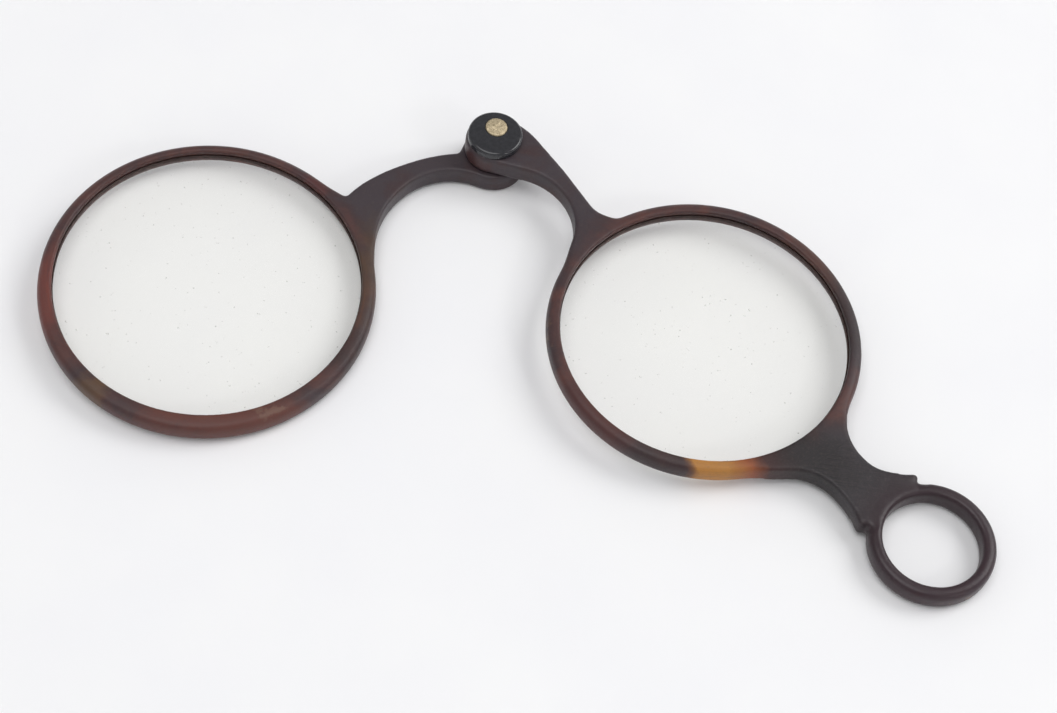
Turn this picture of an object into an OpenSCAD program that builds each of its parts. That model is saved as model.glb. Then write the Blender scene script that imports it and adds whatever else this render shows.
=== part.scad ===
// Folding lorgnette: two round eyeglass rims carved with their arms from flat horn plate,
// riveted together so that one frame turns under the other. The right frame also carries a
// short flared handle and a finger ring.
// The origin is on the pivot axis, in the plane of the left frame's underside. +Z runs up the
// rivet to the boss, and +X runs from the left lens to the right one.
// Each frame is drawn with its pivot at the origin and its lens along +X, and the outer, convex
// side of its arm towards +Y. It is then turned to its place.

/* [Plate] */
// Thickness of the horn plate of each frame
plate_t = 2.8; // [2.4:0.1:4]
// Gap between the eyes of the two frames, which turn on each other
eye_gap = 0.05; // [0.02:0.01:0.3]
// Angle between the two arms when the lorgnette is open
open_angle = 98.9; // [90:0.1:130]
// Distance along an arm from the rivet's hole to the centre of the round eye
eye_along = 0.6; // [0:0.1:1]
// Distance from the arm's axis down to the centre of the round eye
eye_drop = 0.7; // [0:0.1:1]

/* [Rims] */
// Radius of the left rim's clear opening
left_clear_r = 19; // [15:0.1:21]
// Radius of the right rim's clear opening
right_clear_r = 17.9; // [15:0.1:20]
// Distance from the pivot to the centre of the left lens
left_reach = 41.8; // [40:0.1:48]
// Distance from the pivot to the centre of the right lens
right_reach = 38.5; // [36:0.1:45]
// Width of the left rim, measured outwards from its clear opening
left_rim_w = 1.8; // [1.4:0.05:2.6]
// Width of the right rim, measured outwards from its clear opening
right_rim_w = 1.65; // [1.4:0.05:2.6]
// Distance by which the outside of the left rim lies further along the arm than its opening
left_rim_along = 0.2; // [0:0.05:0.4]
// Distance by which the outside of the left rim lies lower than its opening
left_rim_drop = 0.35; // [0:0.05:0.4]
// Radius of a rim's rounded outer edges
rim_outer_round = 0.7; // [0.2:0.05:1]
// Radius of a rim's softened inner edges
rim_inner_round = 0.3; // [0.1:0.05:0.4]

/* [Lenses] */
// Depth of the groove that holds a lens
groove_depth = 0.6; // [0.3:0.05:0.9]
// Clearance between a lens's bevel and its groove
lens_fit = 0.04; // [0.02:0.01:0.1]
// Clearance between a lens's face and the edge of the clear opening
lens_shoulder = 0.1; // [0.05:0.05:0.3]
// Thickness of a lens at its shoulder
lens_edge_t = 1.2; // [0.8:0.1:1.6]
// Width of the flat left along the tip of a lens's bevel
bevel_tip = 0.3; // [0.1:0.05:0.6]
// Radius of curvature of both faces of a lens
lens_curve_r = 420; // [200:10:2000]

/* [Pivot] */
// Radius of the rivet's shank
shank_r = 0.8; // [0.6:0.05:1]
// Radial clearance between the shank and the left frame, which turns on it
turning_fit = 0.05; // [0.02:0.01:0.1]
// Radial clearance between the rivet and the pieces that it holds still
holding_fit = 0.02; // [0.01:0.01:0.05]
// Radius of the rivet's head
head_r = 1.4; // [1.15:0.05:1.8]
// Height by which the rivet's head stands above the boss
head_rise = 0.2; // [0.1:0.05:0.4]
// Depth by which the rivet's head is sunk into the boss
head_sink = 0.3; // [0.1:0.05:0.5]
// Width of the hammered slope round the rivet's head
head_slope = 0.3; // [0.1:0.05:0.6]
// Radius of the boss
boss_r = 3.5; // [2.6:0.1:5]
// Thickness of the boss
boss_t = 1; // [0.8:0.1:2]
// Chamfer round the boss's upper edge
boss_chamfer = 0.25; // [0.1:0.05:0.5]
// Radius of the burr under the left eye
burr_r = 1.9; // [1.6:0.1:2.6]
// Thickness of the burr
burr_t = 0.4; // [0.3:0.05:0.6]
// Clearance round the burr and over it, in the recess where it turns
burr_fit = 0.08; // [0.04:0.02:0.2]
// Radius of the rivet's tail, peened flat under the burr
tail_r = 1.25; // [1.1:0.05:1.5]
// Thickness of the rivet's tail
tail_t = 0.3; // [0.2:0.05:0.5]

/* [Left arm] */
// Radius of the left frame's pivot eye
left_eye_r = 4.35; // [4:0.05:5]
// Radius of the left arm's outer curve
left_back_r = 21.5; // [19:0.1:32]
// Angle round the left eye at which the outer curve leaves it
left_back_turn = 27; // [15:1:45]
// Angle round the left eye at which the flat that starts at the outer curve ends
left_flat_turn = 82; // [60:1:100]
// Angle round the left rim of the notch where the outer curve meets it
left_notch_turn = 6.5; // [5:0.5:12]
// Height of the notch above the circle of the left rim's outside
left_notch_rise = 0.7; // [0.1:0.05:0.8]
// Radius of the left arm's inner curve, which starts tangent to the eye
left_belly_r = 8.1; // [7:0.1:9.5]
// Angle round the left eye, below the arm's axis, at which the inner curve starts
left_belly_turn = 34; // [30:1:40]
// Radius of the flatter curve in which the inner curve runs on to the rim
left_web_r = 14.2; // [11:0.1:18]
// Gap between the circle of that flatter curve and the left rim
left_throat = 0.25; // [0:0.05:1]

/* [Right arm] */
// Radius of the right frame's pivot eye
right_eye_r = 3.7; // [3.6:0.05:4.2]
// Radius of the right arm's outer curve
right_back_r = 96; // [60:1:200]
// Distance by which the outer curve stands off the eye
right_back_rise = 0.7; // [0.5:0.05:1.2]
// Angle round the right rim at which the outer curve would meet it
right_back_turn = 3.6; // [2:0.1:8]
// Radius of the shoulder between the outer curve and the eye
right_shoulder_r = 10; // [6:0.5:14]
// Radius of the fillet in the corner between the outer curve and the right rim
right_notch_fillet = 3.6; // [1:0.1:4]
// Radius of the right arm's inner curve
right_belly_r = 8.1; // [7:0.1:9]
// Least distance from the arm's axis down to the centre of that curve. In an arm too long for one
// arc, the curve runs straight at this depth between two arcs.
right_belly_drop = 7.6; // [6.5:0.1:8.5]
// Gap between the inner curve's circle and the right eye
right_eye_throat = 0.9; // [0.3:0.05:1.5]
// Gap between the inner curve's circle and the right rim
right_rim_throat = 0.65; // [0.2:0.05:1.5]

/* [Handle and ring] */
// Distance from the right lens's centre to the centre of the finger ring
ring_reach = 37.5; // [36:0.1:48]
// Radius of the hole in the finger ring
ring_hole_r = 5.9; // [5:0.1:7]
// Width of the finger ring, measured outwards from its hole
ring_w = 1.7; // [1.4:0.05:2.4]
// Radius of the finger ring's rounded outer edges
ring_outer_round = 0.8; // [0.2:0.05:1]
// Radius of the finger ring's softened inner edges
ring_inner_round = 0.45; // [0.1:0.05:0.6]
// Angle by which the handle turns up from the line of the arm
handle_turn = 0.9; // [-5:0.1:5]
// Half the width of the handle at its waist
waist_half_w = 2.8; // [2:0.1:3.2]
// Distance by which the waist lies to the lower side of the handle's axis
waist_shift = 0.7; // [0:0.1:0.8]
// Length of the straight stretch at the waist
waist_len = 0.1; // [0.1:0.1:1]
// Radius of the handle's upper edge between the right rim and the waist
upper_fillet = 6.6; // [5:0.1:8]
// Gap between the circle of that upper edge and the right rim
upper_throat = 0.5; // [0.1:0.05:2]
// Radius of the handle's lower edge between the right rim and the waist
lower_fillet = 6; // [5:0.1:8]
// Gap between the circle of that lower edge and the right rim
lower_throat = 1.45; // [0.1:0.05:2]
// Half the width of the handle across its two nibs
nib_half_w = 5.1; // [4.6:0.05:6]
// Radius of a nib's rounded tip
nib_r = 0.55; // [0.3:0.05:0.8]
// Distance from the finger ring's centre back to the middle of a nib's tip
nib_back = 7; // [6.2:0.1:8]

/* [Hidden] */

// Angle between two neighbouring points on a drawn curve
curve_step = 4;
// Distance by which a cutting tool runs past the faces that it cuts
over = 0.5;
// Number of flats in the rounded corner of a ring's section, and in half of a lens's curved face
corner_flats = 4;
face_flats = 8;
// Direction round a nib's tip at which its outline turns in to the finger ring
nib_end_turn = -30;
$fn = 96;

// Heights of the stack, from the rest plane up
right_z = plate_t + eye_gap;
boss_z = right_z + plate_t;
boss_top = boss_z + boss_t;

// The lens centres stand level with each other, on a line along X
closed_corner = 180 - open_angle;
right_fall = atan2(left_reach * sin(closed_corner),
                   right_reach + left_reach * cos(closed_corner));
left_fall = closed_corner - right_fall;

// Centre of the round eye on either frame: the hole was drilled a little off it
eye = [eye_along, -eye_drop];

// Offset of the left rim's outside from its opening: the rim is wider below than above
left_rim_offset = [left_rim_along, -left_rim_drop];

// Outer radii of the rims, and the circles half way round their outer rounding, on which the
// outlines of the webs land
left_rim_r = left_clear_r + left_rim_w;
right_rim_r = right_clear_r + right_rim_w;
left_land_r = left_rim_r - rim_outer_round / 2;
right_land_r = right_rim_r - rim_outer_round / 2;

// Point at an angle on a circle
function on_circle(c, r, a) = [c.x + r * cos(a), c.y + r * sin(a)];

// Points along an arc, with both ends, at steps of about curve_step
function arc(c, r, a0, a1) =
    let (n = max(2, ceil(abs(a1 - a0) / curve_step)))
    [for (i = [0:n]) on_circle(c, r, a0 + (a1 - a0) * i / n)];

// Direction from one point to another
function heading(p, q) = atan2(q.y - p.y, q.x - p.x);

// Angle at p in the triangle whose corners p and q lie at distances d and e from the third
function corner_angle(p, d, q, e) =
    let (s = norm(q - p))
    acos(max(-1, min(1, (s * s + d * d - e * e) / (2 * s * d))));

// The point at distance d from p and e from q, on the right of the way from p to q
function meet_right(p, d, q, e) = on_circle(p, d, heading(p, q) - corner_angle(p, d, q, e));

// The same on the left of the way
function meet_left(p, d, q, e) = on_circle(p, d, heading(p, q) + corner_angle(p, d, q, e));

// Angle between the line of two circles' centres and the radius to their crossed tangent
function cross_turn(p, d, q, e) = acos(min(1, (d + e) / norm(q - p)));

// Outline of the left arm, closed by a chord inside its rim, which it meets in a sharp notch
function left_outline() =
    let (rim = [left_reach, 0] + left_rim_offset,
         leave = on_circle(eye, left_eye_r, left_back_turn),
         notch_r = left_rim_r + left_notch_rise,
         notch = on_circle(rim, notch_r, 180 - left_notch_turn),
         touch = 180 - left_notch_turn - acos(left_land_r / notch_r),
         back = meet_right(leave, left_back_r, notch, left_back_r),
         belly = on_circle(eye, left_eye_r + left_belly_r, -left_belly_turn),
         web = meet_right(belly, left_web_r - left_belly_r,
                          rim, left_rim_r + left_throat + left_web_r),
         join = heading(web, belly),
         foot = heading(web, rim) + cross_turn(web, left_web_r, rim, left_land_r))
    concat(
        [leave],
        arc(eye, left_eye_r, left_flat_turn, 360 - left_belly_turn),
        arc(belly, left_belly_r, 180 - left_belly_turn, join),
        arc(web, left_web_r, join, foot),
        [on_circle(rim, left_land_r, 180 + foot), on_circle(rim, left_land_r, touch)],
        arc(back, left_back_r, heading(back, notch), heading(back, leave))
    );

// Outline of the right arm, closed by a chord inside its rim, into which it runs by a fillet
function right_outline() =
    let (lens = [right_reach, 0],
         fillet_r = right_notch_fillet,
         aim = on_circle(lens, right_rim_r, 180 - right_back_turn),
         back = meet_right(eye, right_back_r - right_eye_r - right_back_rise,
                           aim, right_back_r),
         shoulder = meet_left(eye, right_shoulder_r - right_eye_r,
                              back, right_back_r - right_shoulder_r),
         fillet = meet_left(back, right_back_r + fillet_r, lens, right_land_r + fillet_r),
         belly_r = right_belly_r,
         eye_span = right_eye_r + right_eye_throat + belly_r,
         rim_span = right_rim_r + right_rim_throat + belly_r,
         belly_y = min(-right_belly_drop, meet_right(eye, eye_span, lens, rim_span).y),
         near_eye = [eye.x + sqrt(pow(eye_span, 2) - pow(belly_y - eye.y, 2)), belly_y],
         near_rim = [lens.x - sqrt(pow(rim_span, 2) - pow(belly_y, 2)), belly_y],
         eye_exit = heading(eye, near_eye) - cross_turn(eye, right_eye_r, near_eye, belly_r),
         foot = heading(near_rim, lens) + cross_turn(near_rim, belly_r, lens, right_land_r),
         eye_entry = heading(shoulder, eye),
         crest = heading(back, shoulder),
         dip = heading(back, fillet))
    concat(
        arc(eye, right_eye_r, eye_entry, 360 + eye_exit),
        arc(near_eye, belly_r, 180 + eye_exit, 90),
        arc(near_rim, belly_r, 90, foot),
        [on_circle(lens, right_land_r, 180 + foot)],
        arc(fillet, fillet_r, heading(lens, fillet) - 180, dip - 180),
        arc(back, right_back_r, dip, crest),
        arc(shoulder, right_shoulder_r, crest, eye_entry)
    );

// One long side of the handle, from the right rim to the finger ring, drawn from the lens's
// centre with the side towards +Y. half_w is the distance from the axis to the waist, and
// throat the gap between the rim's circle and that of the fillet.
function handle_side(half_w, fillet_r, throat) =
    let (lens = [0, 0], ring = [ring_reach, 0],
         fillet_y = half_w + fillet_r,
         fillet_x = sqrt(pow(right_land_r + throat + fillet_r, 2) - pow(fillet_y, 2)),
         fillet = [fillet_x, fillet_y],
         root = heading(lens, fillet) + cross_turn(lens, right_land_r, fillet, fillet_r),
         flare_x = fillet_x + waist_len,
         nib = [ring_reach - nib_back, nib_half_w - nib_r],
         run = nib.x - flare_x,
         rise = nib.y - half_w,
         flare_r = (run * run + rise * rise - nib_r * nib_r) / (2 * (nib_r + rise)),
         flare = [flare_x, half_w + flare_r],
         tip = on_circle(nib, nib_r, nib_end_turn))
    concat(
        [on_circle(lens, right_land_r, root)],
        arc(fillet, fillet_r, 180 + root, 270),
        arc(flare, flare_r, 270, 360 + heading(flare, nib)),
        arc(nib, nib_r, heading(nib, flare), nib_end_turn),
        [on_circle(ring, ring_hole_r + ring_w / 2, heading(ring, tip))]
    );

// Mirrors a list of points in the handle's axis and turns its order about
function other_side(points) =
    [for (i = [len(points) - 1:-1:0]) [points[i].x, -points[i].y]];

// Outline of the handle, turned about the lens's centre, and closed by chords inside the rim and
// inside the finger ring
function handle_outline() =
    let (upper = handle_side(waist_half_w - waist_shift, upper_fillet, upper_throat),
         lower = other_side(handle_side(waist_half_w + waist_shift, lower_fillet,
                                        lower_throat)))
    [for (p = concat(upper, lower))
        on_circle([0, 0], norm(p), atan2(p.y, p.x) + handle_turn)];

// Flat disc of horn with its edges rounded
module disc(r, edge_round) {
    rotate_extrude()
        polygon(concat(
            [[0, 0]],
            soft_corner(r - edge_round, edge_round, edge_round, -90, 0),
            soft_corner(r - edge_round, plate_t - edge_round, edge_round, 0, 90),
            [[0, plate_t]]
        ));
}

// Round opening through the plate with its edges softened
module opening(r, edge_round) {
    rotate_extrude()
        polygon(concat(
            [[0, -over], [r + edge_round, -over]],
            soft_corner(r + edge_round, edge_round, edge_round, 270, 180),
            soft_corner(r + edge_round, plate_t - edge_round, edge_round, 180, 90),
            [[r + edge_round, plate_t + over], [0, plate_t + over]]
        ));
}

// Rounded corner of a disc's section, from angle a0 to a1
function soft_corner(r, z, round_r, a0, a1) =
    [for (i = [0:corner_flats])
        on_circle([r, z], round_r, a0 + (a1 - a0) * i / corner_flats)];

// Half height of the lens bevel at radius r, for a lens with its shoulder at shoulder_r and
// its tip at tip_r
function bevel_h(r, shoulder_r, tip_r) =
    bevel_tip / 2 + (lens_edge_t - bevel_tip) / 2 * (tip_r - r) / (tip_r - shoulder_r);

// Groove round the inside of a rim, parallel to the bevel of the lens that it holds
module lens_groove(clear_r) {
    shoulder_r = clear_r - lens_shoulder;
    tip_r = clear_r + groove_depth - lens_fit;
    mouth_r = clear_r - over;
    mouth_h = bevel_h(mouth_r - lens_fit, shoulder_r, tip_r) + lens_fit;
    tip_h = bevel_tip / 2 + lens_fit;
    translate([0, 0, plate_t / 2])
        rotate_extrude()
            polygon([
                [mouth_r, -mouth_h],
                [tip_r + lens_fit, -tip_h],
                [tip_r + lens_fit, tip_h],
                [mouth_r, mouth_h]
            ]);
}

// Round hole through a frame's plate
module through_hole(r) {
    translate([0, 0, -over])
        cylinder(r = r, h = plate_t + 2 * over);
}

// Turns a piece of the left frame to its place
module at_left() {
    rotate([0, 0, 180 + left_fall])
        mirror([0, 1, 0])
            children();
}

// Turns and lifts a piece of the right frame to its place
module at_right() {
    translate([0, 0, right_z])
        rotate([0, 0, -right_fall])
            children();
}

// Moves a piece from the right lens's centre to the finger ring's
module at_ring() {
    translate([ring_reach * cos(handle_turn), ring_reach * sin(handle_turn), 0])
        children();
}

module left_frame() {
    color("#4a2f2a")
        at_left()
            difference() {
                union() {
                    linear_extrude(plate_t) polygon(left_outline());
                    translate([left_reach, 0, 0])
                        translate(left_rim_offset) disc(left_rim_r, rim_outer_round);
                }
                translate([left_reach, 0, 0]) {
                    opening(left_clear_r, rim_inner_round);
                    lens_groove(left_clear_r);
                }
                through_hole(shank_r + turning_fit);
                translate([0, 0, -over])
                    cylinder(r = burr_r + burr_fit, h = over + tail_t + burr_t + burr_fit);
            }
}

module right_frame() {
    color("#3b2c2a")
        at_right()
            difference() {
                union() {
                    linear_extrude(plate_t) polygon(right_outline());
                    translate([right_reach, 0, 0]) {
                        disc(right_rim_r, rim_outer_round);
                        linear_extrude(plate_t) polygon(handle_outline());
                        at_ring() disc(ring_hole_r + ring_w, ring_outer_round);
                    }
                }
                translate([right_reach, 0, 0]) {
                    opening(right_clear_r, rim_inner_round);
                    lens_groove(right_clear_r);
                    at_ring() opening(ring_hole_r, ring_inner_round);
                }
                through_hole(shank_r + holding_fit);
            }
}

// Lens with two gently curved faces and a bevelled edge, centred in the plate's thickness
module lens(clear_r) {
    shoulder_r = clear_r - lens_shoulder;
    tip_r = clear_r + groove_depth - lens_fit;
    half_turn = asin(shoulder_r / lens_curve_r);
    curve_z = lens_edge_t / 2 - lens_curve_r * cos(half_turn);
    face = [for (i = [0:face_flats]) let (a = half_turn * i / face_flats)
            [lens_curve_r * sin(a), curve_z + lens_curve_r * cos(a)]];
    translate([0, 0, plate_t / 2])
        rotate_extrude()
            polygon(concat(
                face,
                [[tip_r, bevel_tip / 2], [tip_r, -bevel_tip / 2]],
                [for (i = [face_flats:-1:0]) [face[i].x, -face[i].y]]
            ));
}

module left_lens() {
    color("#e9efef", 0.35)
        at_left()
            translate([left_reach, 0, 0]) lens(left_clear_r);
}

module right_lens() {
    color("#e9efef", 0.35)
        at_right()
            translate([right_reach, 0, 0]) lens(right_clear_r);
}

module pivot_boss() {
    color("#17181a")
        difference() {
            at_right()
                translate([eye.x, eye.y, plate_t]) {
                    cylinder(r = boss_r, h = boss_t - boss_chamfer);
                    translate([0, 0, boss_t - boss_chamfer])
                        cylinder(r1 = boss_r, r2 = boss_r - boss_chamfer, h = boss_chamfer);
                }
            translate([0, 0, boss_z - over])
                cylinder(r = shank_r + holding_fit, h = boss_t + 2 * over);
            translate([0, 0, boss_top - head_sink])
                cylinder(r = head_r + holding_fit, h = head_sink + over);
        }
}

module pivot_rivet() {
    color("#b9b3a4")
        rotate_extrude()
            polygon([
                [0, 0],
                [tail_r, 0],
                [tail_r, tail_t],
                [shank_r, tail_t],
                [shank_r, boss_top - head_sink],
                [head_r, boss_top - head_sink],
                [head_r, boss_top],
                [head_r - head_slope, boss_top + head_rise],
                [0, boss_top + head_rise]
            ]);
}

module rivet_burr() {
    color("#a8a294")
        translate([0, 0, tail_t])
            difference() {
                cylinder(r = burr_r, h = burr_t);
                translate([0, 0, -over])
                    cylinder(r = shank_r + holding_fit, h = burr_t + 2 * over);
            }
}

left_frame();
right_frame();
left_lens();
right_lens();
pivot_boss();
pivot_rivet();
rivet_burr();
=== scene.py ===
"""Folding horn lorgnette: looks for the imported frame.

Each rim is carved with its arm from one plate of dark horn. The frames turn on a rivet under a
polished boss, and each holds one ground lens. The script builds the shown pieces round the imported
frame, gives them their finishes, and sets the stage for the picture.
"""

import math

import bpy
import numpy as np
from bpy.props import (
    FloatProperty,
    FloatVectorProperty,
    IntProperty,
    PointerProperty,
)
from bpy.types import Operator, Panel, PropertyGroup
from mathutils import Euler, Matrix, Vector


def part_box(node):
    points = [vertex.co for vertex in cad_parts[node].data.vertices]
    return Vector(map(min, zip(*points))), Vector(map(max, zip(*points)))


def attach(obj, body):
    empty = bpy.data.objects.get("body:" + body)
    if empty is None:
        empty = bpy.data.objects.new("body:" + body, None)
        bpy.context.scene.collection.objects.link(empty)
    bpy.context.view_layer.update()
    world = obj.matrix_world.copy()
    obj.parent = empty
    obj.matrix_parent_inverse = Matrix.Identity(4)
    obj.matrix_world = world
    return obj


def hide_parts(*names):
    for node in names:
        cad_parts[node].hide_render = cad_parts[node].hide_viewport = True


bl_info = {
    "name": "Folding Lorgnette",
    "version": (1, 0, 0),
    "blender": (4, 5, 0),
    "location": "View3D > Sidebar > Lorgnette",
    "description": "Builds the shown pieces, finishes and stage of a folding horn lorgnette",
    "category": "Object",
}

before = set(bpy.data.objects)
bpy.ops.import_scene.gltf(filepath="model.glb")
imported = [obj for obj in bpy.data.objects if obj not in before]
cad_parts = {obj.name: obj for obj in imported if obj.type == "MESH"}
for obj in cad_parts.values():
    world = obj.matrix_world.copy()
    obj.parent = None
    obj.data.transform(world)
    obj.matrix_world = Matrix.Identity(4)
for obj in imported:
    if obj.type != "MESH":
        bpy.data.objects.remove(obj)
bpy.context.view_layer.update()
MM = 0.001


# Colours and nodes


def linear(hex_colour, alpha=None):
    """Turns an sRGB hex colour to linear values, with an alpha for a node's socket."""
    parts = [int(hex_colour[i:i + 2], 16) / 255 for i in (1, 3, 5)]
    colour = [c / 12.92 if c <= 0.04045 else ((c + 0.055) / 1.055) ** 2.4 for c in parts]
    return tuple(colour) if alpha is None else tuple(colour) + (alpha,)


def add(tree, kind, inputs=None, stops=None, **settings):
    """Adds a node, sets its properties, and gives its sockets values or links."""
    node = tree.nodes.new(kind)
    for name, value in settings.items():
        setattr(node, name, value)
    if stops:
        ramp = node.color_ramp
        while len(ramp.elements) < len(stops):
            ramp.elements.new(0.5)
        for element, (place, colour) in zip(ramp.elements, stops):
            element.position = place
            element.color = colour
    for name, value in (inputs or {}).items():
        socket = node.inputs[name]
        if isinstance(value, bpy.types.NodeSocket):
            tree.links.new(value, socket)
        else:
            socket.default_value = value
    return node


def new_material(name):
    """Makes an empty node material and returns it with its tree."""
    material = bpy.data.materials.new(name)
    material.use_nodes = True
    material.node_tree.nodes.clear()
    return material, material.node_tree


# Shaping by hand


def only(piece):
    """Selects one piece alone and makes it active."""
    bpy.ops.object.select_all(action="DESELECT")
    piece.select_set(True)
    bpy.context.view_layer.objects.active = piece


def points_of(piece):
    """The piece's vertices in millimetres, as an array."""
    flat = np.empty(len(piece.data.vertices) * 3)
    piece.data.vertices.foreach_get("co", flat)
    return flat.reshape(-1, 3) / MM


def pick(piece, chosen):
    """Leaves the piece in edit mode with only the chosen vertices selected."""
    only(piece)
    bpy.ops.object.mode_set(mode="OBJECT")
    mesh = piece.data
    mesh.polygons.foreach_set("select", np.zeros(len(mesh.polygons), bool))
    mesh.edges.foreach_set("select", np.zeros(len(mesh.edges), bool))
    mesh.vertices.foreach_set("select", np.asarray(chosen, bool))
    bpy.ops.object.mode_set(mode="EDIT")
    bpy.ops.mesh.select_mode(type="VERT")


def done(piece, smooth_angle=35):
    """Leaves edit mode and shades the piece smooth up to an angle in degrees."""
    only(piece)
    bpy.ops.object.mode_set(mode="OBJECT")
    bpy.ops.object.transform_apply(location=True, rotation=True, scale=True)
    bpy.ops.object.shade_smooth_by_angle(angle=math.radians(smooth_angle))


def apply(piece, kind, **settings):
    """Adds a modifier to the piece and applies it."""
    only(piece)
    modifier = piece.modifiers.new(kind.lower(), kind)
    for name, value in settings.items():
        setattr(modifier, name, value)
    bpy.ops.object.modifier_apply(modifier=modifier.name)


def turned(name, profile, place):
    """Spins a profile of (radius, height) points in millimetres about an upright axis."""
    bpy.ops.object.select_all(action="DESELECT")
    x, y, z = place
    first, *others = profile
    bpy.ops.mesh.primitive_plane_add(
        size=MM, location=((x + first[0]) * MM, y * MM, (z + first[1]) * MM)
    )
    piece = bpy.context.object
    piece.name = piece.data.name = name
    bpy.ops.object.mode_set(mode="EDIT")
    bpy.ops.mesh.select_mode(type="VERT")
    bpy.ops.mesh.select_all(action="SELECT")
    bpy.ops.mesh.merge(type="CENTER")
    last = first
    for point in others:
        step = ((point[0] - last[0]) * MM, 0, (point[1] - last[1]) * MM)
        bpy.ops.mesh.extrude_vertices_move(TRANSFORM_OT_translate={"value": step})
        last = point
    bpy.ops.mesh.select_all(action="SELECT")
    bpy.ops.mesh.spin(
        steps=128, angle=math.tau, center=(x * MM, y * MM, z * MM), axis=(0, 0, 1)
    )
    bpy.ops.mesh.select_all(action="SELECT")
    bpy.ops.mesh.remove_doubles(threshold=0.002 * MM)
    bpy.ops.mesh.normals_make_consistent(inside=False)
    bpy.ops.object.mode_set(mode="OBJECT")
    return piece


def carved_copy(node, name, voxel):
    """Copies a CAD node and rebuilds it in small even faces, ready for soft edges."""
    bpy.ops.object.select_all(action="DESELECT")
    piece = bpy.data.objects.new(name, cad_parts[node].data.copy())
    piece.data.name = name
    piece.data.materials.clear()
    bpy.context.scene.collection.objects.link(piece)
    only(piece)
    bpy.ops.object.mode_set(mode="EDIT")
    bpy.ops.mesh.select_all(action="SELECT")
    bpy.ops.mesh.remove_doubles(threshold=0.001 * MM)
    bpy.ops.object.mode_set(mode="OBJECT")
    apply(piece, "REMESH", mode="VOXEL", voxel_size=voxel * MM, use_smooth_shade=True)
    return piece


def soften(piece, chosen, rounds):
    """Rubs down the chosen vertices."""
    pick(piece, chosen)
    bpy.ops.mesh.vertices_smooth(factor=0.5, repeat=rounds)
    bpy.ops.object.mode_set(mode="OBJECT")


def stretch(piece, chosen, factor, centre, reach):
    """Scales the chosen vertices about a point in millimetres. Their neighbours follow, less
    and less up to a reach in millimetres."""
    pick(piece, chosen)
    bpy.ops.transform.resize(
        value=factor, center_override=Vector(centre) * MM, use_proportional_edit=reach > 0,
        proportional_edit_falloff="SMOOTH", proportional_size=max(reach, 0.1) * MM
    )
    bpy.ops.object.mode_set(mode="OBJECT")


def stand_in(piece, node, body, slot, *materials):
    """Shows the piece in place of its CAD node, on the node's body. The slot argument is not used.
    """
    piece.data.materials.clear()
    for material in materials:
        piece.data.materials.append(material)
    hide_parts(node)
    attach(piece, body)


# Finishes


# Centre of the finger ring, in millimetres
RING = (56.371, -50.970)
# How much darker the clouds are on the arms than on the rims, as a share of the colour ramp
ARM_DEPTH = 0.3


def object_mm(tree):
    """Gives the place on the piece, in millimetres."""
    place = add(tree, "ShaderNodeTexCoord").outputs["Object"]
    return add(tree, "ShaderNodeMapping", {
        "Vector": place, "Scale": (1000, 1000, 1000)}).outputs["Vector"]


def tinted_patch(tree, mm, colour, centre, half_sizes, tint, strength):
    """Mixes a cloudy patch of another tint into the colour."""
    offset = add(tree, "ShaderNodeVectorMath", {0: mm, 1: centre}, operation="SUBTRACT")
    share = add(tree, "ShaderNodeVectorMath", {
        0: offset.outputs["Vector"], 1: tuple(1 / h for h in half_sizes)}, operation="MULTIPLY")
    far = add(tree, "ShaderNodeVectorMath", {0: share.outputs["Vector"]}, operation="LENGTH")
    inside = add(tree, "ShaderNodeMapRange", {
        "Value": far.outputs["Value"], "From Min": 1.35, "From Max": 0.55,
        "To Min": 0.0, "To Max": strength}, interpolation_type="SMOOTHSTEP")
    return add(tree, "ShaderNodeMix", {
        "Factor": inside.outputs["Result"], 6: colour, 7: linear(tint, 1)},
        data_type="RGBA").outputs[2]


def clear_band(tree, mm, colour, honey):
    """Mixes in the band where the right rim's horn is clear. It starts sharply on the nose
    side, glows like honey, and fades through orange to dark red."""
    along = add(tree, "ShaderNodeVectorMath", {0: mm, 1: (1, 0.65, 0)}, operation="DOT_PRODUCT")
    part = add(tree, "ShaderNodeMapRange", {
        "Value": along.outputs["Value"], "From Min": -2.7, "From Max": 15.3})
    band = add(tree, "ShaderNodeValToRGB", {"Fac": part.outputs["Result"]}, stops=[
        (0.015, linear("#6a3a20", 0.0)), (0.09, tuple(honey) + (1,)), (0.32, tuple(honey) + (1,)),
        (0.48, linear("#9a5022", 0.95)), (0.62, linear("#3c1610", 0.85)),
        (0.92, linear("#1c1212", 0.0))])
    # The band crosses the rim only
    far = add(tree, "ShaderNodeVectorMath", {0: mm, 1: (34.5, -47.5, 4.2)}, operation="DISTANCE")
    on_rim = add(tree, "ShaderNodeMapRange", {
        "Value": far.outputs["Value"], "From Min": 10.0, "From Max": 8.5,
        "To Min": 0.0, "To Max": 1.0}, interpolation_type="SMOOTHSTEP")
    strength = add(tree, "ShaderNodeMath", {
        0: band.outputs["Alpha"], 1: on_rim.outputs["Result"]}, operation="MULTIPLY")
    return add(tree, "ShaderNodeMix", {
        "Factor": strength.outputs["Value"], 6: colour, 7: band.outputs["Color"]},
        data_type="RGBA").outputs[2]


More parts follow.
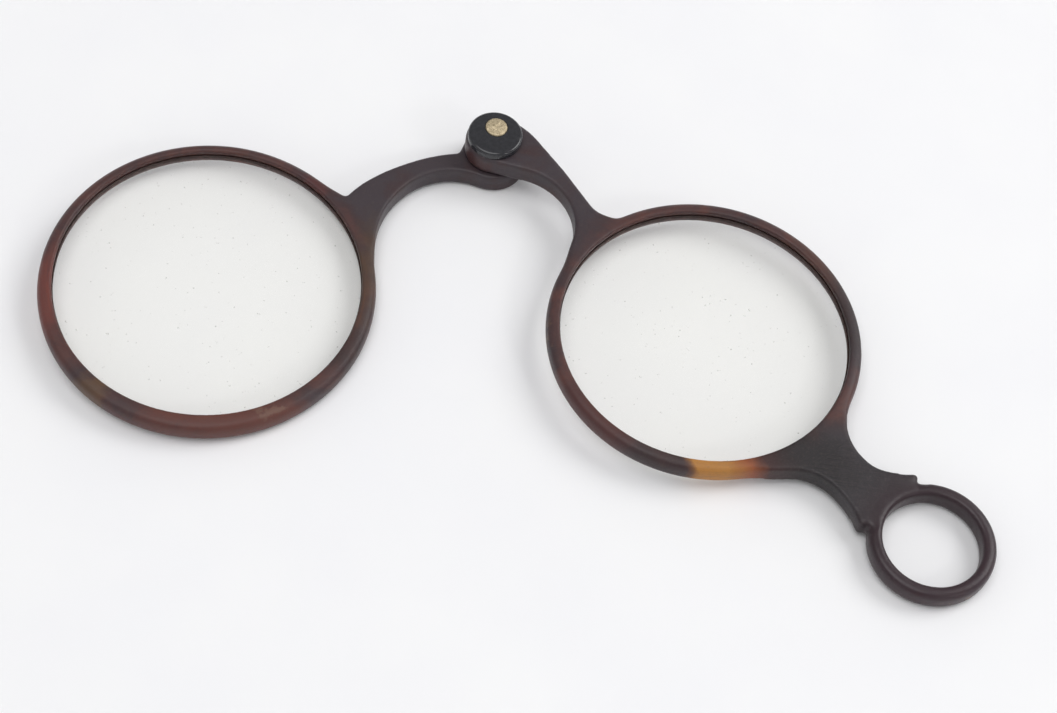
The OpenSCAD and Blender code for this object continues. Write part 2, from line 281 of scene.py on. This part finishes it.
def clouded(tree, mm, on_arm, look):
    """The horn's own colour: dark clouds in brown, darker still on the arm."""
    clouds = add(tree, "ShaderNodeTexNoise", {
        "Vector": mm, "Scale": 0.16, "Detail": 5, "Roughness": 0.62, "Distortion": 0.7})
    # Growth layers lie flat in the plate, about 0.5 mm apart
    flat = add(tree, "ShaderNodeMapping", {"Vector": mm, "Scale": (0.09, 0.09, 1.6)})
    layers = add(tree, "ShaderNodeTexNoise", {
        "Vector": flat.outputs["Vector"], "Scale": 1.0, "Detail": 3, "Roughness": 0.5})
    streaks = add(tree, "ShaderNodeMath", {
        0: layers.outputs["Fac"], 1: 0.3, 2: clouds.outputs["Fac"]}, operation="MULTIPLY_ADD")
    depth = add(tree, "ShaderNodeMath", {
        0: streaks.outputs["Value"], 1: on_arm}, operation="SUBTRACT")
    return add(tree, "ShaderNodeValToRGB", {"Fac": depth.outputs["Value"]}, stops=[
        (0.34, tuple(look.dark) + (1,)), (0.54, tuple(look.brown) + (1,)),
        (0.78, tuple(look.red) + (1,))]).outputs["Color"]


def file_marks(tree, mm, rim_centre, from_rim, on_arm):
    """Scratches of a file about 0.1 mm apart, straight on the arm and round on the rim."""
    straight = add(tree, "ShaderNodeMapping", {
        "Vector": mm, "Rotation": (0, 0, 0.6), "Scale": (0.35, 9.0, 4.0)})
    spoke = add(tree, "ShaderNodeVectorMath", {0: mm, 1: rim_centre}, operation="SUBTRACT")
    parts = add(tree, "ShaderNodeSeparateXYZ", {"Vector": spoke.outputs["Vector"]})
    angle = add(tree, "ShaderNodeMath", {0: parts.outputs["Y"], 1: parts.outputs["X"]},
                operation="ARCTAN2")
    round_way = add(tree, "ShaderNodeCombineXYZ", {
        "X": angle.outputs["Value"], "Y": from_rim, "Z": parts.outputs["Z"]})
    round_marks = add(tree, "ShaderNodeMapping", {
        "Vector": round_way.outputs["Vector"], "Scale": (5.0, 4.5, 4.5)})
    # The arm's share ends at ARM_DEPTH, and here it has to end at 1
    on_flat = add(tree, "ShaderNodeMath", {0: on_arm, 1: 1 / ARM_DEPTH}, operation="MULTIPLY")
    file_way = add(tree, "ShaderNodeMix", {
        "Factor": on_flat.outputs["Value"], 4: round_marks.outputs["Vector"],
        5: straight.outputs["Vector"]}, data_type="VECTOR")
    return add(tree, "ShaderNodeTexNoise", {
        "Vector": file_way.outputs[1], "Scale": 1.0, "Detail": 4,
        "Roughness": 0.7}).outputs["Fac"]


def horn(name, look, rim_centre, rim_r, stains_and_painted_light, clear=False):
    """Dark horn plate, sawn, filed and rubbed. The eye sees nearly black clouds in translucent
    brown, thin growth layers along the plate's thickness, stains of red and olive with a
    painted highlight and painted shade among them, a dull sheen, and fine file marks that
    cross the faces. The rim, up to rim_r from its centre, is browner than the arm."""
    material, tree = new_material(name)
    mm = object_mm(tree)
    from_rim = add(tree, "ShaderNodeVectorMath", {
        0: mm, 1: rim_centre}, operation="DISTANCE").outputs["Value"]
    on_arm = add(tree, "ShaderNodeMapRange", {
        "Value": from_rim, "From Min": rim_r - 1.5, "From Max": rim_r + 2.5,
        "To Min": 0.0, "To Max": ARM_DEPTH}, interpolation_type="SMOOTHSTEP").outputs["Result"]
    colour = clouded(tree, mm, on_arm, look)
    marks = file_marks(tree, mm, rim_centre, from_rim, on_arm)
    # The edges of the stains, the painted highlight and the painted shade wander by about 1 mm
    drift = add(tree, "ShaderNodeTexNoise", {
        "Vector": mm, "Scale": 0.5, "Detail": 3, "Roughness": 0.6})
    shift = add(tree, "ShaderNodeVectorMath", {
        0: drift.outputs["Color"], 1: (0.5, 0.5, 0.5)}, operation="SUBTRACT")
    wander = add(tree, "ShaderNodeVectorMath", {
        0: shift.outputs["Vector"], 1: (4, 4, 3), 2: mm}, operation="MULTIPLY_ADD")
    # Stains, with a painted highlight on the left frame and painted shade on the right
    for row in stains_and_painted_light:
        colour = tinted_patch(tree, wander.outputs["Vector"], colour, *row)
    if clear:
        little = add(tree, "ShaderNodeVectorMath", {
            0: shift.outputs["Vector"], 1: (1.5, 1.5, 1.5), 2: mm}, operation="MULTIPLY_ADD")
        colour = clear_band(tree, little.outputs["Vector"], colour, look.honey)
    # Darker fibres follow the marks
    fibre = add(tree, "ShaderNodeMapRange", {
        "Value": marks, "From Min": 0.62, "From Max": 0.38,
        "To Min": 0.0, "To Max": 0.4})
    colour = add(tree, "ShaderNodeMix", {
        "Factor": fibre.outputs["Result"], 6: colour, 7: tuple(look.dark) + (1,)},
        data_type="RGBA").outputs[2]
    # Pale dust and wear sit in specks about 0.3 mm across
    speckle = add(tree, "ShaderNodeTexNoise", {
        "Vector": mm, "Scale": 3.2, "Detail": 3, "Roughness": 0.6})
    fine = add(tree, "ShaderNodeMapRange", {
        "Value": speckle.outputs["Fac"], "From Min": 0.5, "From Max": 0.8,
        "To Min": 0.0, "To Max": 0.25})
    dusty = add(tree, "ShaderNodeMix", {
        "Factor": fine.outputs["Result"], 6: colour, 7: tuple(look.dust) + (1,)},
        data_type="RGBA")
    shown = dusty.outputs[2]
    if clear:
        shown = tinted_patch(tree, mm, shown, RING + (4.2,), (8.6, 8.6, 4.0), "#2c151e", 0.88)
    rub = add(tree, "ShaderNodeMapRange", {
        "Value": marks, "From Min": 0.3, "From Max": 0.7,
        "To Min": 0.34, "To Max": 0.52})
    # The finger ring is worn smoother by use
    from_ring = add(tree, "ShaderNodeVectorMath", {0: mm, 1: RING + (4.25,)}, operation="DISTANCE")
    worn = add(tree, "ShaderNodeMapRange", {
        "Value": from_ring.outputs["Value"], "From Min": 8.6, "From Max": 7.6,
        "To Min": 0.0, "To Max": 0.07}, interpolation_type="SMOOTHSTEP")
    dull = add(tree, "ShaderNodeMath", {
        0: rub.outputs["Result"], 1: worn.outputs["Result"]}, operation="SUBTRACT")
    depth_of_marks = add(tree, "ShaderNodeMath", {
        0: worn.outputs["Result"], 1: -2.8, 2: 0.25}, operation="MULTIPLY_ADD")
    uneven = add(tree, "ShaderNodeBump", {
        "Strength": depth_of_marks.outputs["Value"], "Distance": 0.06 * MM, "Height": marks})
    lumps = add(tree, "ShaderNodeTexNoise", {
        "Vector": mm, "Scale": 0.9, "Detail": 2, "Roughness": 0.5})
    carved = add(tree, "ShaderNodeBump", {
        "Strength": 0.35, "Distance": 0.12 * MM, "Height": lumps.outputs["Fac"],
        "Normal": uneven.outputs["Normal"]})
    surface = add(tree, "ShaderNodeBsdfPrincipled", {
        "Base Color": shown, "Roughness": dull.outputs["Value"], "IOR": 1.54,
        "Specular IOR Level": 0.36, "Normal": carved.outputs["Normal"]})
    add(tree, "ShaderNodeOutputMaterial", {"Surface": surface.outputs["BSDF"]})
    return material


def clear_glass():
    """Crown glass, ground and polished. It is seen by its edge and by faint reflections, and
    lets the light through to the floor."""
    material, tree = new_material("crown_glass_polished")
    mm = object_mm(tree)
    glass = add(tree, "ShaderNodeBsdfPrincipled", {
        "Base Color": linear("#ffffff", 1), "Roughness": 0.0, "IOR": 1.52,
        "Specular IOR Level": 0.1, "Transmission Weight": 1.0})
    # Dust lies on the glass in specks of about 0.15 mm
    dust = add(tree, "ShaderNodeTexNoise", {
        "Vector": mm, "Scale": 2.0, "Detail": 2, "Roughness": 0.5})
    specks = add(tree, "ShaderNodeMapRange", {
        "Value": dust.outputs["Fac"], "From Min": 0.72, "From Max": 0.77,
        "To Min": 0.0, "To Max": 0.3}).outputs["Result"]
    grey = add(tree, "ShaderNodeBsdfDiffuse", {"Color": linear("#b9b6b1", 1)})
    dusty = add(tree, "ShaderNodeMixShader", {
        "Fac": specks, 1: glass.outputs["BSDF"], 2: grey.outputs["BSDF"]})
    clear = add(tree, "ShaderNodeBsdfTransparent", {"Color": linear("#fffffd", 1)})
    # Light that goes on to the floor passes straight through, so it is counted once
    ray = add(tree, "ShaderNodeLightPath")
    lit = add(tree, "ShaderNodeMixShader", {
        "Fac": ray.outputs["Is Diffuse Ray"], 1: dusty.outputs["Shader"],
        2: clear.outputs["BSDF"]})
    shown = add(tree, "ShaderNodeMixShader", {
        "Fac": ray.outputs["Is Shadow Ray"], 1: lit.outputs["Shader"],
        2: clear.outputs["BSDF"]})
    add(tree, "ShaderNodeOutputMaterial", {"Surface": shown.outputs["Shader"]})
    return material


def ground_edge_painted_shade():
    """The glass's bevel, ground and left matt. It lies in the horn's groove, and is painted the
    dark brown of the horn seen through it, with the groove's shade painted in as well."""
    material, tree = new_material("crown_glass_ground_painted_shade")
    grit = add(tree, "ShaderNodeTexNoise", {
        "Vector": object_mm(tree), "Scale": 2.5, "Detail": 3, "Roughness": 0.6})
    # Painted shade: the bevel takes the horn's dark brown and the shade of the groove
    tint = add(tree, "ShaderNodeValToRGB", {"Fac": grit.outputs["Fac"]}, stops=[
        (0.4, linear("#3c2b29", 1)), (0.7, linear("#503b36", 1))])
    surface = add(tree, "ShaderNodeBsdfPrincipled", {
        "Base Color": tint.outputs["Color"], "Roughness": 0.55, "IOR": 1.52})
    add(tree, "ShaderNodeOutputMaterial", {"Surface": surface.outputs["BSDF"]})
    return material


def polished_black():
    """Black horn, turned and polished. It gives a deep black with sharp reflections, and fine
    rubbing marks that dull them a little."""
    material, tree = new_material("black_horn_polished")
    mm = object_mm(tree)
    rubbed = add(tree, "ShaderNodeTexNoise", {
        "Vector": mm, "Scale": 2.2, "Detail": 4, "Roughness": 0.7})
    rough = add(tree, "ShaderNodeMapRange", {
        "Value": rubbed.outputs["Fac"], "From Min": 0.3, "From Max": 0.7,
        "To Min": 0.08, "To Max": 0.2}).outputs["Result"]
    tint = add(tree, "ShaderNodeValToRGB", {"Fac": rubbed.outputs["Fac"]}, stops=[
        (0.4, linear("#27272b", 1)), (0.75, linear("#333337", 1))]).outputs["Color"]
    ripple = add(tree, "ShaderNodeBump", {
        "Strength": 0.15, "Distance": 0.03 * MM, "Height": rubbed.outputs["Fac"]})
    surface = add(tree, "ShaderNodeBsdfPrincipled", {
        "Base Color": tint, "Roughness": rough, "IOR": 1.54,
        "Normal": ripple.outputs["Normal"]})
    add(tree, "ShaderNodeOutputMaterial", {"Surface": surface.outputs["BSDF"]})
    return material


def hammered_metal():
    """Nickel silver, hammered over. It gives a warm pale grey with dull facets and darker
    specks scattered over it."""
    material, tree = new_material("nickel_silver_hammered")
    mm = object_mm(tree)
    dents = add(tree, "ShaderNodeTexVoronoi", {
        "Vector": mm, "Scale": 1.9, "Smoothness": 0.4}, feature="SMOOTH_F1")
    grime = add(tree, "ShaderNodeTexNoise", {
        "Vector": mm, "Scale": 5.0, "Detail": 3, "Roughness": 0.6})
    tint = add(tree, "ShaderNodeValToRGB", {"Fac": grime.outputs["Fac"]}, stops=[
        (0.36, linear("#a3947a", 1)), (0.55, linear("#cfc0a2", 1))]).outputs["Color"]
    rough = add(tree, "ShaderNodeMapRange", {
        "Value": grime.outputs["Fac"], "From Min": 0.3, "From Max": 0.7,
        "To Min": 0.62, "To Max": 0.5}).outputs["Result"]
    beaten = add(tree, "ShaderNodeBump", {
        "Strength": 0.5, "Distance": 0.1 * MM, "Height": dents.outputs["Distance"]})
    surface = add(tree, "ShaderNodeBsdfPrincipled", {
        "Base Color": tint, "Metallic": 1.0, "Roughness": rough,
        "Normal": beaten.outputs["Normal"]})
    add(tree, "ShaderNodeOutputMaterial", {"Surface": surface.outputs["BSDF"]})
    return material


def white_card():
    """White card, matt. It gives an even pale ground that takes soft shadows."""
    material, tree = new_material("white_card_matt")
    mm = object_mm(tree)
    fibres = add(tree, "ShaderNodeTexNoise", {
        "Vector": mm, "Scale": 0.05, "Detail": 2, "Roughness": 0.5})
    tint = add(tree, "ShaderNodeValToRGB", {"Fac": fibres.outputs["Fac"]}, stops=[
        (0.35, linear("#f6f6f8", 1)), (0.65, linear("#f8f8f9", 1))]).outputs["Color"]
    surface = add(tree, "ShaderNodeBsdfPrincipled", {
        "Base Color": tint, "Roughness": 0.9, "Specular IOR Level": 0.1})
    add(tree, "ShaderNodeOutputMaterial", {"Surface": surface.outputs["BSDF"]})
    return material


# Sizes and colours that a user would change


class LorgnetteHorn(PropertyGroup):
    """Carving and colours of the horn."""

    voxel: FloatProperty(
        name="Facet size", description="Size of the faces of the carved horn, in millimetres",
        default=0.155, min=0.14, max=0.4)
    rubbing: IntProperty(
        name="Rubbing", description="How far the carved edges are rubbed down",
        default=16, min=0, max=60)
    rim_rubbing: IntProperty(
        name="Rim rubbing", description="How far the rims are rubbed round",
        default=45, min=0, max=90)
    nib_rubbing: IntProperty(
        name="Nib rubbing", description="How far the nibs of the handle are worn down",
        default=30, min=0, max=60)
    dark: FloatVectorProperty(
        name="Dark", description="Darkest colour of the horn", subtype="COLOR",
        default=linear("#3b3237"), min=0, max=1)
    brown: FloatVectorProperty(
        name="Brown", description="Colour between the dark clouds", subtype="COLOR",
        default=linear("#3d2829"), min=0, max=1)
    red: FloatVectorProperty(
        name="Red", description="Colour where the horn lets most light through",
        subtype="COLOR", default=linear("#5b332b"), min=0, max=1)
    dust: FloatVectorProperty(
        name="Dust", description="Colour of the pale dust in the file marks",
        subtype="COLOR", default=linear("#54483f"), min=0, max=1)
    honey: FloatVectorProperty(
        name="Honey", description="Colour of the clear band in the right rim",
        subtype="COLOR", default=linear("#ba7f34"), min=0, max=1)


class LorgnetteLens(PropertyGroup):
    """Shape of the lenses."""

    curve_r: FloatProperty(
        name="Curve", description="Radius of both faces", default=0.42,
        min=0.1, max=2, unit="LENGTH", subtype="DISTANCE")
    edge_t: FloatProperty(
        name="Edge", description="Thickness at the shoulder", default=0.0012,
        min=0.0008, max=0.0016, unit="LENGTH", subtype="DISTANCE")


class LorgnetteStage(PropertyGroup):
    """Floor, lamps and camera."""

    camera_place: FloatVectorProperty(
        name="Camera", description="Place of the camera", subtype="TRANSLATION",
        unit="LENGTH", default=(-0.00396, -0.17975, 0.23951))
    camera_way: FloatVectorProperty(
        name="View", description="Direction in which the camera looks",
        subtype="DIRECTION", default=(0.0401, 0.5314, -0.8462))
    camera_roll: FloatProperty(
        name="Roll", description="Turn of the camera about its view", subtype="ANGLE",
        unit="ROTATION", default=math.radians(11.057))
    lens_mm: FloatProperty(
        name="Focal length", description="Focal length on a sensor 36 mm wide",
        default=78.39, min=20, max=300, unit="CAMERA")
    window_power: FloatProperty(
        name="Window", description="Power of the main lamp in watts", default=5.9, min=0,
        unit="POWER")
    ceiling_power: FloatProperty(
        name="Ceiling", description="Power of the lamp overhead in watts", default=6.1, min=0,
        unit="POWER")
    glint_power: FloatProperty(
        name="Glint", description="Power of the small front lamp in watts", default=0.35, min=0,
        unit="POWER")
    sky: FloatProperty(
        name="Sky", description="Strength of the light from all round", default=0.37, min=0)


# Pieces


# The left rim is a little narrower than it is long, and its lower edge stays in place
LEFT_OVAL = (0.989, 1.0115, 1)
OVAL_FOOT = 20.5
# The finger ring grows away from a point beyond the lower nib
RING_GROWTH = (1.015, 1.015, 1)
RING_FOOT = (47, -71)
# Radius, in millimetres, that takes in the whole finger ring
ALL_RING = 8
# Band beside the groove's mouth, in millimetres, that keeps its edges
GROOVE_BAND = 0.25
# Height over the lens's middle, in millimetres, at which the lips beside the groove begin
LIP_START = 0.95
# Tips of the handle's nibs and the reach of the wear round them, in millimetres
NIBS = ((54.17, -42.92), (48.11, -49.72))
NIB_WEAR = 1.9
# Width of the lens's bevel and half the thickness of its tip, in millimetres
BEVEL_W = 0.66
TIP_HALF_T = 0.15
# Steps from the middle of a lens face to its shoulder
FACE_STEPS = 14
# Faces whose normals are at least so upright are polished, the others are ground
FLAT_ENOUGH = 0.95
# The open lorgnette rests on the left frame and on the end of the finger ring: the floor's
# normal, and its depth under the pivot in millimetres
FLOOR_WAY = (-0.03252, 0.01846, 1)
FLOOR_DROP = 0.1835
# Stains of the horn, a painted highlight and painted shade: centre and half sizes in millimetres,
# tint, and strength
LEFT_STAINS_AND_HIGHLIGHT = (
    ((-27, -44.6, 1.2), (15, 4.5, 3.0), "#663427", 0.85),
    ((-52, -31, 1.6), (3.5, 7, 3.0), "#74382e", 0.75),
    ((-43.6, -43, 1.6), (2.6, 1.8, 2.5), "#684c2c", 0.6),
    ((-39.4, -45, 2.4), (2.4, 1.5, 1.2), "#2a262b", 0.5),
    ((-14, -22, 1.4), (2.4, 9, 2.5), "#553f26", 0.6),
    ((-15, -33.3, 2.0), (2.4, 3.2, 2.5), "#2c1b18", 0.6),
    ((-16.5, -18, 1.6), (2.5, 3.5, 3.0), "#30282c", 0.45),
    # Painted highlight: a thin pale streak along the crest of the left rim's near side
    ((-22, -43.3, 2.7), (3.6, 0.7, 0.5), "#8f7460", 0.3),
    ((-22.5, -10.3, 2.4), (2.8, 2.0, 1.5), "#662a22", 0.5),
)
RIGHT_STAINS_AND_SHADE = (
    ((16, -39.3, 4.6), (6.5, 5, 2.2), "#4e211b", 0.75),
    ((24, -44.3, 4.4), (4.5, 2.6, 3.0), "#2e1c1c", 0.8),
    ((47, -46, 4.6), (13, 10, 4.0), "#222023", 0.85),
    ((41, -42.5, 4.6), (6, 4.5, 4.0), "#0e0b0c", 0.85),
    ((9.0, -29, 4.4), (0.6, 2.6, 1.2), "#8f7252", 0.35),
    ((11, -14, 4.4), (3.5, 4, 3.0), "#332b31", 0.6),
    ((42.5, -14, 4.4), (5, 6, 2.5), "#4e3022", 0.5),
    ((46.5, -20, 4.4), (3.5, 8, 3.0), "#241a1b", 0.75),
    # Painted shade: darker along the lower walls of the right rim's bottom, near the floor
    ((24, -45.6, 3.4), (12, 2.2, 1.3), "#2a1a1c", 0.6),
    ((-2.2, -3.6, 4.0), (2.5, 2.5, 1.4), "#50241c", 0.5),
    ((58.2, -57.4, 4.2), (0.5, 0.5, 0.7), "#a88a66", 0.8),
    ((60.7, -56.5, 4.0), (0.5, 0.5, 0.7), "#a88a66", 0.8),
)


class LORGNETTE_OT_frames(Operator):
    """Carves both frames from horn plate."""

    bl_idname = "lorgnette.frames"
    bl_label = "Frames"

    def execute(self, context):
        look = context.scene.lorgnette_horn
        self.carve(look, "left_frame", "left_lens", "folding_side", "brown_horn",
                   1.24, LEFT_STAINS_AND_HIGHLIGHT)
        self.carve(look, "right_frame", "right_lens", "handle_side", "dark_horn",
                   1.09, RIGHT_STAINS_AND_SHADE)
        return {"FINISHED"}

    def carve(self, look, node, lens, body, slot, outside_w, stains_and_painted_light):
        """Carves one frame. outside_w is the rim's width outside the lens."""
        low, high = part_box(lens)
        centre = (low + high) / 2 / MM
        lens_r = (high.x - low.x) / 2 / MM
        piece = carved_copy(node, node + "_carved", look.voxel)
        points = points_of(piece)
        from_lens = np.hypot(points[:, 0] - centre.x, points[:, 1] - centre.y)
        outside = from_lens > lens_r + GROOVE_BAND
        lip = np.abs(points[:, 2] - centre.z) > LIP_START
        lip &= from_lens > lens_r - GROOVE_BAND
        on_rim = from_lens < lens_r + outside_w + 0.5
        soften(piece, (outside | lip) & on_rim, look.rim_rubbing)
        soften(piece, outside, look.rubbing)
        if node == "left_frame":
            foot = (centre.x, centre.y - OVAL_FOOT, centre.z)
            stretch(piece, on_rim, LEFT_OVAL, foot, 10)
        else:
            for tip in NIBS:
                near = np.hypot(points[:, 0] - tip[0], points[:, 1] - tip[1]) < NIB_WEAR
                soften(piece, near, look.nib_rubbing)
            from_ring = np.hypot(points[:, 0] - RING[0], points[:, 1] - RING[1])
            stretch(piece, from_ring < ALL_RING, RING_GROWTH, RING_FOOT + (centre.z,), 4)
        done(piece, 180)
        stand_in(piece, node, body, slot, horn(
            node + "_horn_filed", look, tuple(centre), lens_r + outside_w, stains_and_painted_light,
            clear=node == "right_frame"))


class LORGNETTE_OT_lenses(Operator):
    """Grinds the two lenses."""

    bl_idname = "lorgnette.lenses"
    bl_label = "Lenses"

    def execute(self, context):
        look = context.scene.lorgnette_lens
        glass, edge = clear_glass(), ground_edge_painted_shade()
        for node, body in (("left_lens", "folding_side"), ("right_lens", "handle_side")):
            low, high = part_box(node)
            centre = (low + high) / 2 / MM
            tip_r = (high.x - low.x) / 2 / MM
            shoulder_r = tip_r - BEVEL_W
            curve = look.curve_r / MM
            half = look.edge_t / 2 / MM
            base = half - math.sqrt(curve ** 2 - shoulder_r ** 2)
            radii = [shoulder_r * i / FACE_STEPS for i in range(FACE_STEPS + 1)]
            top = [(r, base + math.sqrt(curve ** 2 - r * r)) for r in radii]
            profile = top + [(tip_r, TIP_HALF_T), (tip_r, -TIP_HALF_T)]
            profile += [(r, -z) for r, z in reversed(top)]
            piece = turned(node + "_ground", profile, tuple(centre))
            if node == "left_lens":
                everything = np.ones(len(piece.data.vertices), bool)
                foot = (centre.x, centre.y - OVAL_FOOT, centre.z)
                stretch(piece, everything, LEFT_OVAL, foot, 0)
            done(piece, 20)
            stand_in(piece, node, body, "lens_glass", glass, edge)
            for face in piece.data.polygons:
                face.material_index = int(abs(face.normal.z) < FLAT_ENOUGH)
        return {"FINISHED"}


class LORGNETTE_OT_boss(Operator):
    """Turns the polished boss over the pivot and sinks the rivet's seat in it."""

    bl_idname = "lorgnette.boss"
    bl_label = "Boss"

    def execute(self, context):
        low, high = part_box("pivot_boss")
        centre = (low + high) / 2 / MM
        r = (high.x - low.x) / 2 / MM
        t = (high.z - low.z) / MM
        corner = [(r - 0.4 + 0.4 * math.cos(a), t - 0.4 + 0.4 * math.sin(a))
                  for a in (math.radians(15 * i) for i in range(7))]
        profile = [(0, 0), (r - 0.12, 0), (r, 0.12)] + corner + [(0, t)]
        piece = turned("pivot_boss_turned", profile, (centre.x, centre.y, low.z / MM))
        seat = [(0, -1), (0.82, -1), (0.82, t - 0.3), (1.42, t - 0.3), (1.42, t - 0.06),
                (1.5, t + 0.02), (1.5, t + 1), (0, t + 1)]
        cutter = turned("seat_cutter", seat, (0, 0, low.z / MM))
        apply(piece, "BOOLEAN", operation="DIFFERENCE", solver="EXACT", object=cutter)
        bpy.data.objects.remove(cutter)
        done(piece, 30)
        stand_in(piece, "pivot_boss", "handle_side", "polished_horn", polished_black())
        return {"FINISHED"}


class LORGNETTE_OT_rivet(Operator):
    """Makes the rivet with its hammered head, and the burr under the left eye."""

    bl_idname = "lorgnette.rivet"
    bl_label = "Rivet and burr"

    def execute(self, context):
        metal = hammered_metal()
        low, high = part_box("pivot_rivet")
        top = high.z / MM
        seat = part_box("pivot_boss")[1].z / MM
        profile = [(0, 0), (1.15, 0), (1.25, 0.08), (1.25, 0.3), (0.8, 0.3),
                   (0.8, seat - 0.3), (1.4, seat - 0.3), (1.4, seat - 0.02),
                   (1.36, seat + 0.07), (1.26, seat + 0.13)]
        profile += [(r / 10, top - 0.05 * (r / 12) ** 2) for r in range(12, -1, -1)]
        piece = turned("pivot_rivet_hammered", profile, (0, 0, 0))
        # The blows of the hammer leave shallow dents across the head
        head = piece.vertex_groups.new(name="head")
        heights = points_of(piece)[:, 2]
        head.add([int(i) for i in np.flatnonzero(heights > seat + 0.1)], 1.0, "REPLACE")
        blows = bpy.data.textures.new("hammer_blows", "CLOUDS")
        blows.noise_scale = 0.7 * MM
        apply(piece, "DISPLACE", texture=blows, texture_coords="LOCAL", direction="Z",
              mid_level=0.5, strength=0.16 * MM, vertex_group="head")
        done(piece, 40)
        stand_in(piece, "pivot_rivet", "handle_side", "rivet_metal", metal)
        low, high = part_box("rivet_burr")
        z, t = low.z / MM, (high.z - low.z) / MM
        ring = [(0.82, 0.03), (0.85, 0), (1.82, 0), (1.9, 0.08), (1.9, t - 0.08),
                (1.82, t), (0.85, t), (0.82, t - 0.03), (0.82, 0.03)]
        burr = turned("rivet_burr_turned", ring, (0, 0, z))
        done(burr, 30)
        stand_in(burr, "rivet_burr", "handle_side", "rivet_metal", metal)
        return {"FINISHED"}


class LORGNETTE_OT_stage(Operator):
    """Lays the floor under the open lorgnette and sets the lamps, the world and the camera."""

    bl_idname = "lorgnette.stage"
    bl_label = "Stage"

    def execute(self, context):
        look = context.scene.lorgnette_stage
        rest = Vector(FLOOR_WAY).normalized()
        profile = [(0, 0), (700, 0), (900, 14), (1080, 70), (1230, 170), (1330, 310),
                   (1380, 480), (1390, 700)]
        floor = turned("floor_card", profile, (0, 0, 0))
        only(floor)
        bpy.ops.object.mode_set(mode="EDIT")
        bpy.ops.mesh.select_all(action="SELECT")
        bpy.ops.mesh.flip_normals()
        bpy.ops.object.mode_set(mode="OBJECT")
        apply(floor, "SUBSURF", levels=2, render_levels=2)
        floor.rotation_euler = rest.to_track_quat("Z", "Y").to_euler()
        floor.location = (0, 0, -FLOOR_DROP * MM)
        done(floor, 60)
        floor.data.materials.append(white_card())

        world = bpy.data.worlds.new("soft_room")
        world.use_nodes = True
        context.scene.world = world
        world.node_tree.nodes.clear()
        light = add(world.node_tree, "ShaderNodeBackground", {
            "Color": (1, 1, 1, 1), "Strength": look.sky})
        add(world.node_tree, "ShaderNodeOutputWorld", {"Surface": light.outputs["Background"]})

        lamps = (
            ("window_lamp", look.window_power, 0.80, (0.80, 0.42, 0.94)),
            ("ceiling_lamp", look.ceiling_power, 1.0, (-0.22, -0.12, 1.30)),
            ("glint_lamp", look.glint_power, 0.12, (0.48, -0.40, 0.44)),
        )
        for name, power, size, place in lamps:
            light = bpy.data.lights.new(name, "AREA")
            light.energy = power
            light.shape = "DISK"
            light.size = size
            lamp = bpy.data.objects.new(name, light)
            lamp.location = place
            lamp.rotation_euler = (-lamp.location).to_track_quat("-Z", "Y").to_euler()
            lamp.visible_camera = False
            context.scene.collection.objects.link(lamp)

        view = bpy.data.cameras.new("camera")
        view.sensor_width = 36
        view.lens = look.lens_mm
        view.clip_start, view.clip_end = 0.01, 20
        camera = bpy.data.objects.new("camera", view)
        camera.location = look.camera_place
        turn = Vector(look.camera_way).to_track_quat("-Z", "Y")
        roll = Euler((0, 0, look.camera_roll)).to_quaternion()
        camera.rotation_euler = (turn @ roll).to_euler()
        context.scene.collection.objects.link(camera)
        context.scene.camera = camera
        context.scene.view_settings.view_transform = "Standard"
        return {"FINISHED"}


class LORGNETTE_PT_build(Panel):
    """Lists the steps that build the lorgnette."""

    bl_idname = "LORGNETTE_PT_build"
    bl_label = "Lorgnette"
    bl_space_type = "VIEW_3D"
    bl_region_type = "UI"
    bl_category = "Lorgnette"

    def draw(self, context):
        for step in STEPS:
            self.layout.operator(step.bl_idname)


STEPS = (
    LORGNETTE_OT_frames,
    LORGNETTE_OT_lenses,
    LORGNETTE_OT_boss,
    LORGNETTE_OT_rivet,
    LORGNETTE_OT_stage,
)
GROUPS = (LorgnetteHorn, LorgnetteLens, LorgnetteStage)


def register():
    for group in GROUPS:
        bpy.utils.register_class(group)
    bpy.types.Scene.lorgnette_horn = PointerProperty(type=LorgnetteHorn)
    bpy.types.Scene.lorgnette_lens = PointerProperty(type=LorgnetteLens)
    bpy.types.Scene.lorgnette_stage = PointerProperty(type=LorgnetteStage)
    for step in STEPS:
        bpy.utils.register_class(step)
    bpy.utils.register_class(LORGNETTE_PT_build)


def unregister():
    bpy.utils.unregister_class(LORGNETTE_PT_build)
    for step in reversed(STEPS):
        bpy.utils.unregister_class(step)
    del bpy.types.Scene.lorgnette_stage
    del bpy.types.Scene.lorgnette_lens
    del bpy.types.Scene.lorgnette_horn
    for group in reversed(GROUPS):
        bpy.utils.unregister_class(group)


def main():
    register()
    bpy.ops.lorgnette.frames()
    bpy.ops.lorgnette.lenses()
    bpy.ops.lorgnette.boss()
    bpy.ops.lorgnette.rivet()
    bpy.ops.lorgnette.stage()


if __name__ == "__main__":
    main()
